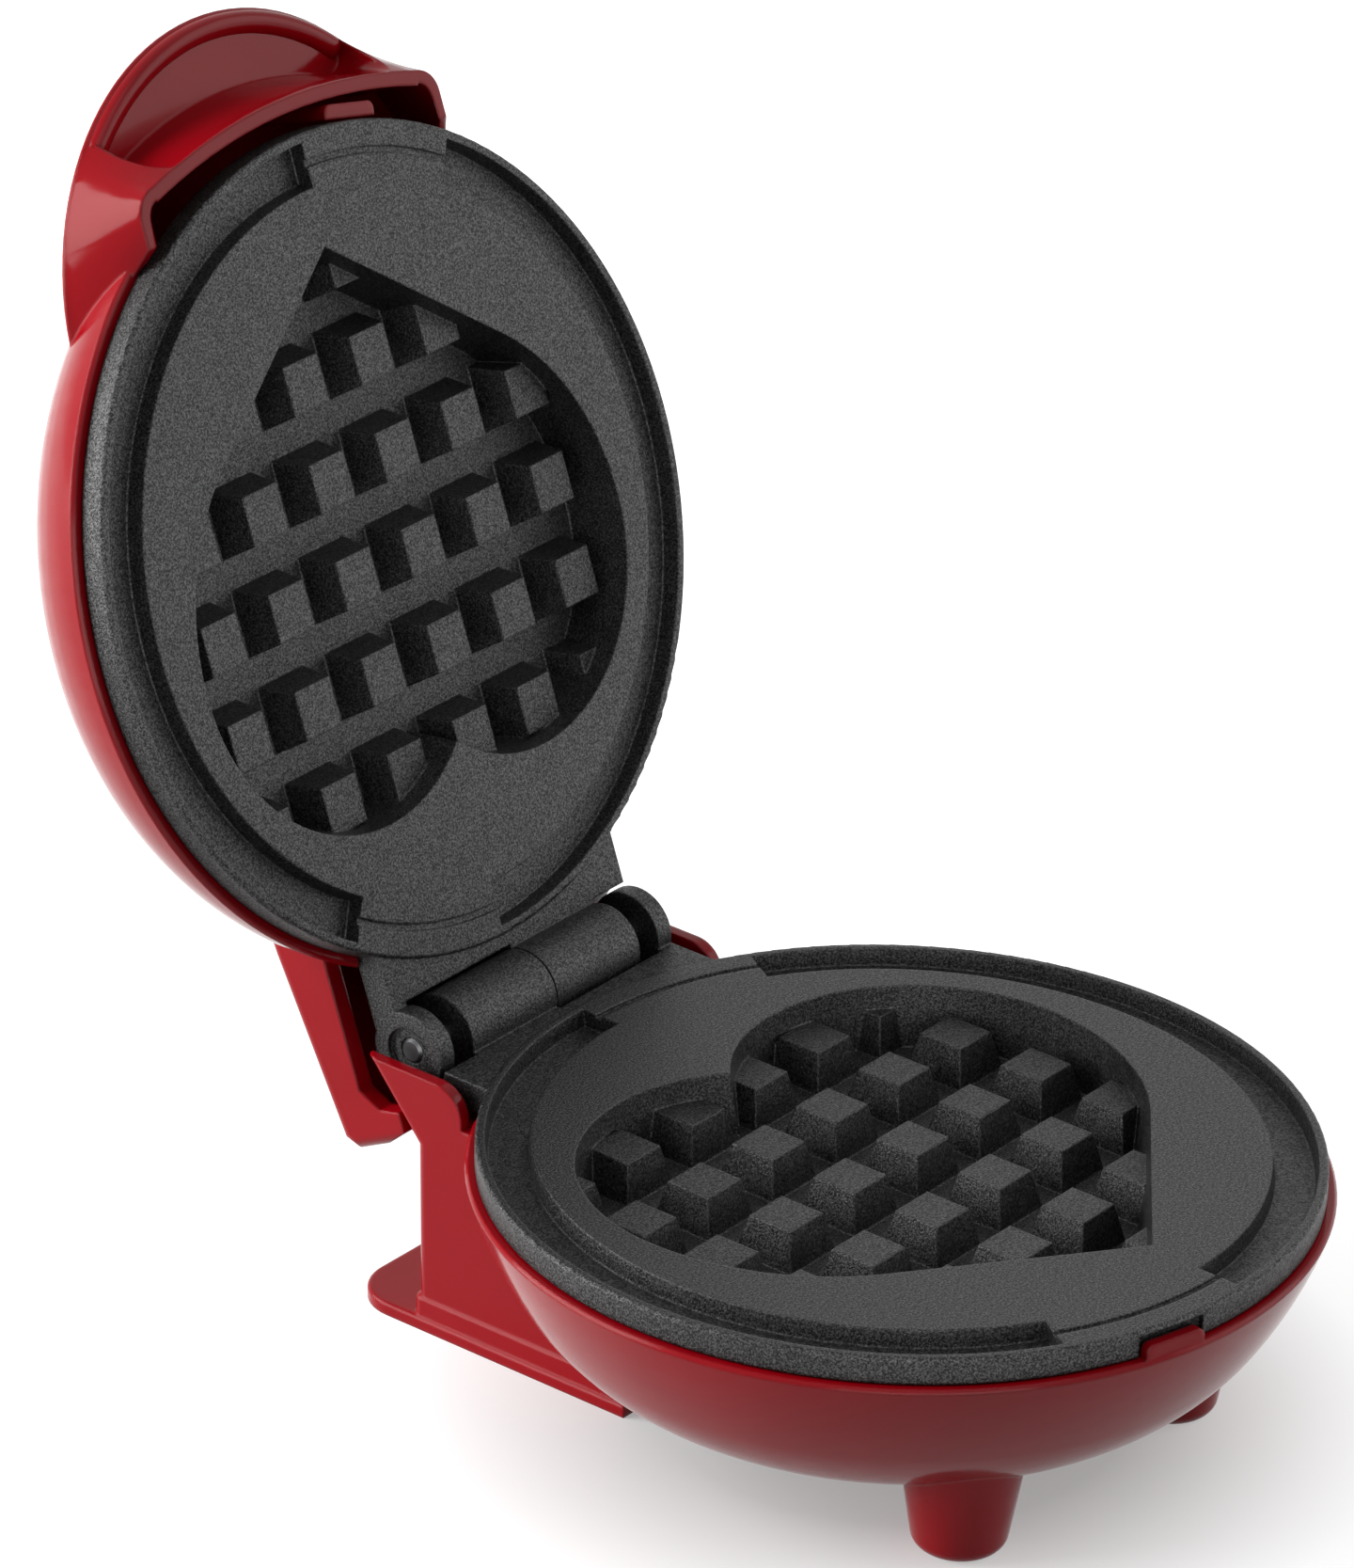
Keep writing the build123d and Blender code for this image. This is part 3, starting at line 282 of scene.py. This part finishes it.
def brow_rim(material):
    """Rounded rim round the underside of the brow, which frames its hollow."""
    count = len(RIM_SECTION)
    points = []
    for step in range(RIM_STEPS + 1):
        turn = RIM_END * (2 * step / RIM_STEPS - 1)
        for radius, height in RIM_SECTION:
            points.append(lid_point(radius * math.sin(turn), BROW_Y - radius * math.cos(turn), height))
    first = range(count)
    last = range(RIM_STEPS * count, (RIM_STEPS + 1) * count)
    faces = [tuple(reversed(first)), tuple(last)]
    for step in range(RIM_STEPS):
        for side in range(count):
            a = step * count + side
            b = step * count + (side + 1) % count
            faces.append((a, b, b + count, a + count))
    mesh = bpy.data.meshes.new("brow_rim")
    mesh.from_pydata(points, [], faces)
    mesh.shade_smooth()
    mesh.materials.append(material)
    rim = add_object("brow_rim", mesh)
    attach(rim, "lid")


def lamps():
    for name, lamp in LAMPS.items():
        data = bpy.data.lights.new(name, "AREA")
        data.size = lamp["size"]
        data.energy = lamp["power"]
        place = Vector(lamp["place"])
        made = add_object(name, data)
        made.location = place
        made.rotation_euler = (Vector(lamp["aim"]) - place).to_track_quat("-Z", "Y").to_euler()
        made.visible_diffuse = name != GLOSS_ONLY


def seen_rays(tree):
    """One for rays from the camera and for gloss and glass, nothing for rays that light."""
    rays = tree.nodes.new("ShaderNodeLightPath")
    total = rays.outputs["Is Camera Ray"]
    for kind in ("Is Glossy Ray", "Is Transmission Ray"):
        both = tree.nodes.new("ShaderNodeMath")
        both.operation = "MAXIMUM"
        tree.links.new(total, both.inputs[0])
        tree.links.new(rays.outputs[kind], both.inputs[1])
        total = both.outputs[0]
    return total


def surroundings():
    """White to the camera and in gloss, dim for what it lights."""
    world = bpy.data.worlds.new("studio")
    bpy.context.scene.world = world
    world.use_nodes = True
    tree = world.node_tree
    dim = tree.nodes["Background"]
    white = tree.nodes.new("ShaderNodeBackground")
    for background, strength in ((dim, AMBIENT), (white, 1.0)):
        background.inputs["Color"].default_value = (1, 1, 1, 1)
        background.inputs["Strength"].default_value = strength
    mix = tree.nodes.new("ShaderNodeMixShader")
    tree.links.new(seen_rays(tree), mix.inputs[0])
    tree.links.new(dim.outputs[0], mix.inputs[1])
    tree.links.new(white.outputs[0], mix.inputs[2])
    tree.links.new(mix.outputs[0], tree.nodes["World Output"].inputs["Surface"])


def floor_look():
    """Pale grey with a slight cyan cast against the shell's red light, which takes the shadow; and a
    white glow of its own, dimmed near the object as a painted shadow.
    """
    s = Shader("floor")
    s.set(Roughness=0.7, Specular_IOR_Level=0.05)
    s.drive(s.ramp(s.noise(3, 2), [(0.3, FLOOR_LOW), (0.7, FLOOR_HIGH)]), "Base Color")
    away = s.node("ShaderNodeVectorMath")
    away.operation = "DISTANCE"
    away.inputs[1].default_value = (PLATE_CENTRE.x, PLATE_CENTRE.y, 0)
    s.link(s.place, away.inputs[0])
    # The glow is lowest round the plates' axis: a painted shadow under the object.
    level = s.ramp(away.outputs["Value"], FLOOR_GLOW_AND_PAINTED_SHADOW)
    glow = s.node("ShaderNodeEmission")
    s.link(s.calculate("MULTIPLY", level, seen_rays(s.tree)), glow.inputs["Strength"])
    both = s.node("ShaderNodeAddShader")
    s.link(s.main.outputs[0], both.inputs[0])
    s.link(glow.outputs[0], both.inputs[1])
    s.link(both.outputs[0], s.tree.nodes["Material Output"].inputs["Surface"])
    return s.material


def floor():
    mesh = bpy.data.meshes.new("floor")
    half = FLOOR_HALF
    corners = [(-half, -half, 0), (half, -half, 0), (half, half, 0), (-half, half, 0)]
    mesh.from_pydata(corners, [], [(0, 1, 2, 3)])
    mesh.materials.append(floor_look())
    add_object("floor", mesh)


bpy.context.scene.view_settings.view_transform = "Standard"
camera()
surroundings()
floor()
lamps()

finishes = {slot: plain(slot, **look) for slot, look in PLAIN.items()}
finishes[SHELL] = red_shell()
finishes[COATING] = nonstick()
for part in frame["record"]["subparts"]:
    slot = part["material_slot"]
    obj = nodes[part["node"]]
    paint(obj, finishes[slot])
    if slot in BEVEL:
        soften(obj, BEVEL[slot])
# The pin gets a darker copy of the steel, painted shade for the pocket round its end.
paint(nodes[PIN], plain("pin_steel_painted_shade", **PIN_SHADED_STEEL))
brow_rim(finishes[SHELL])
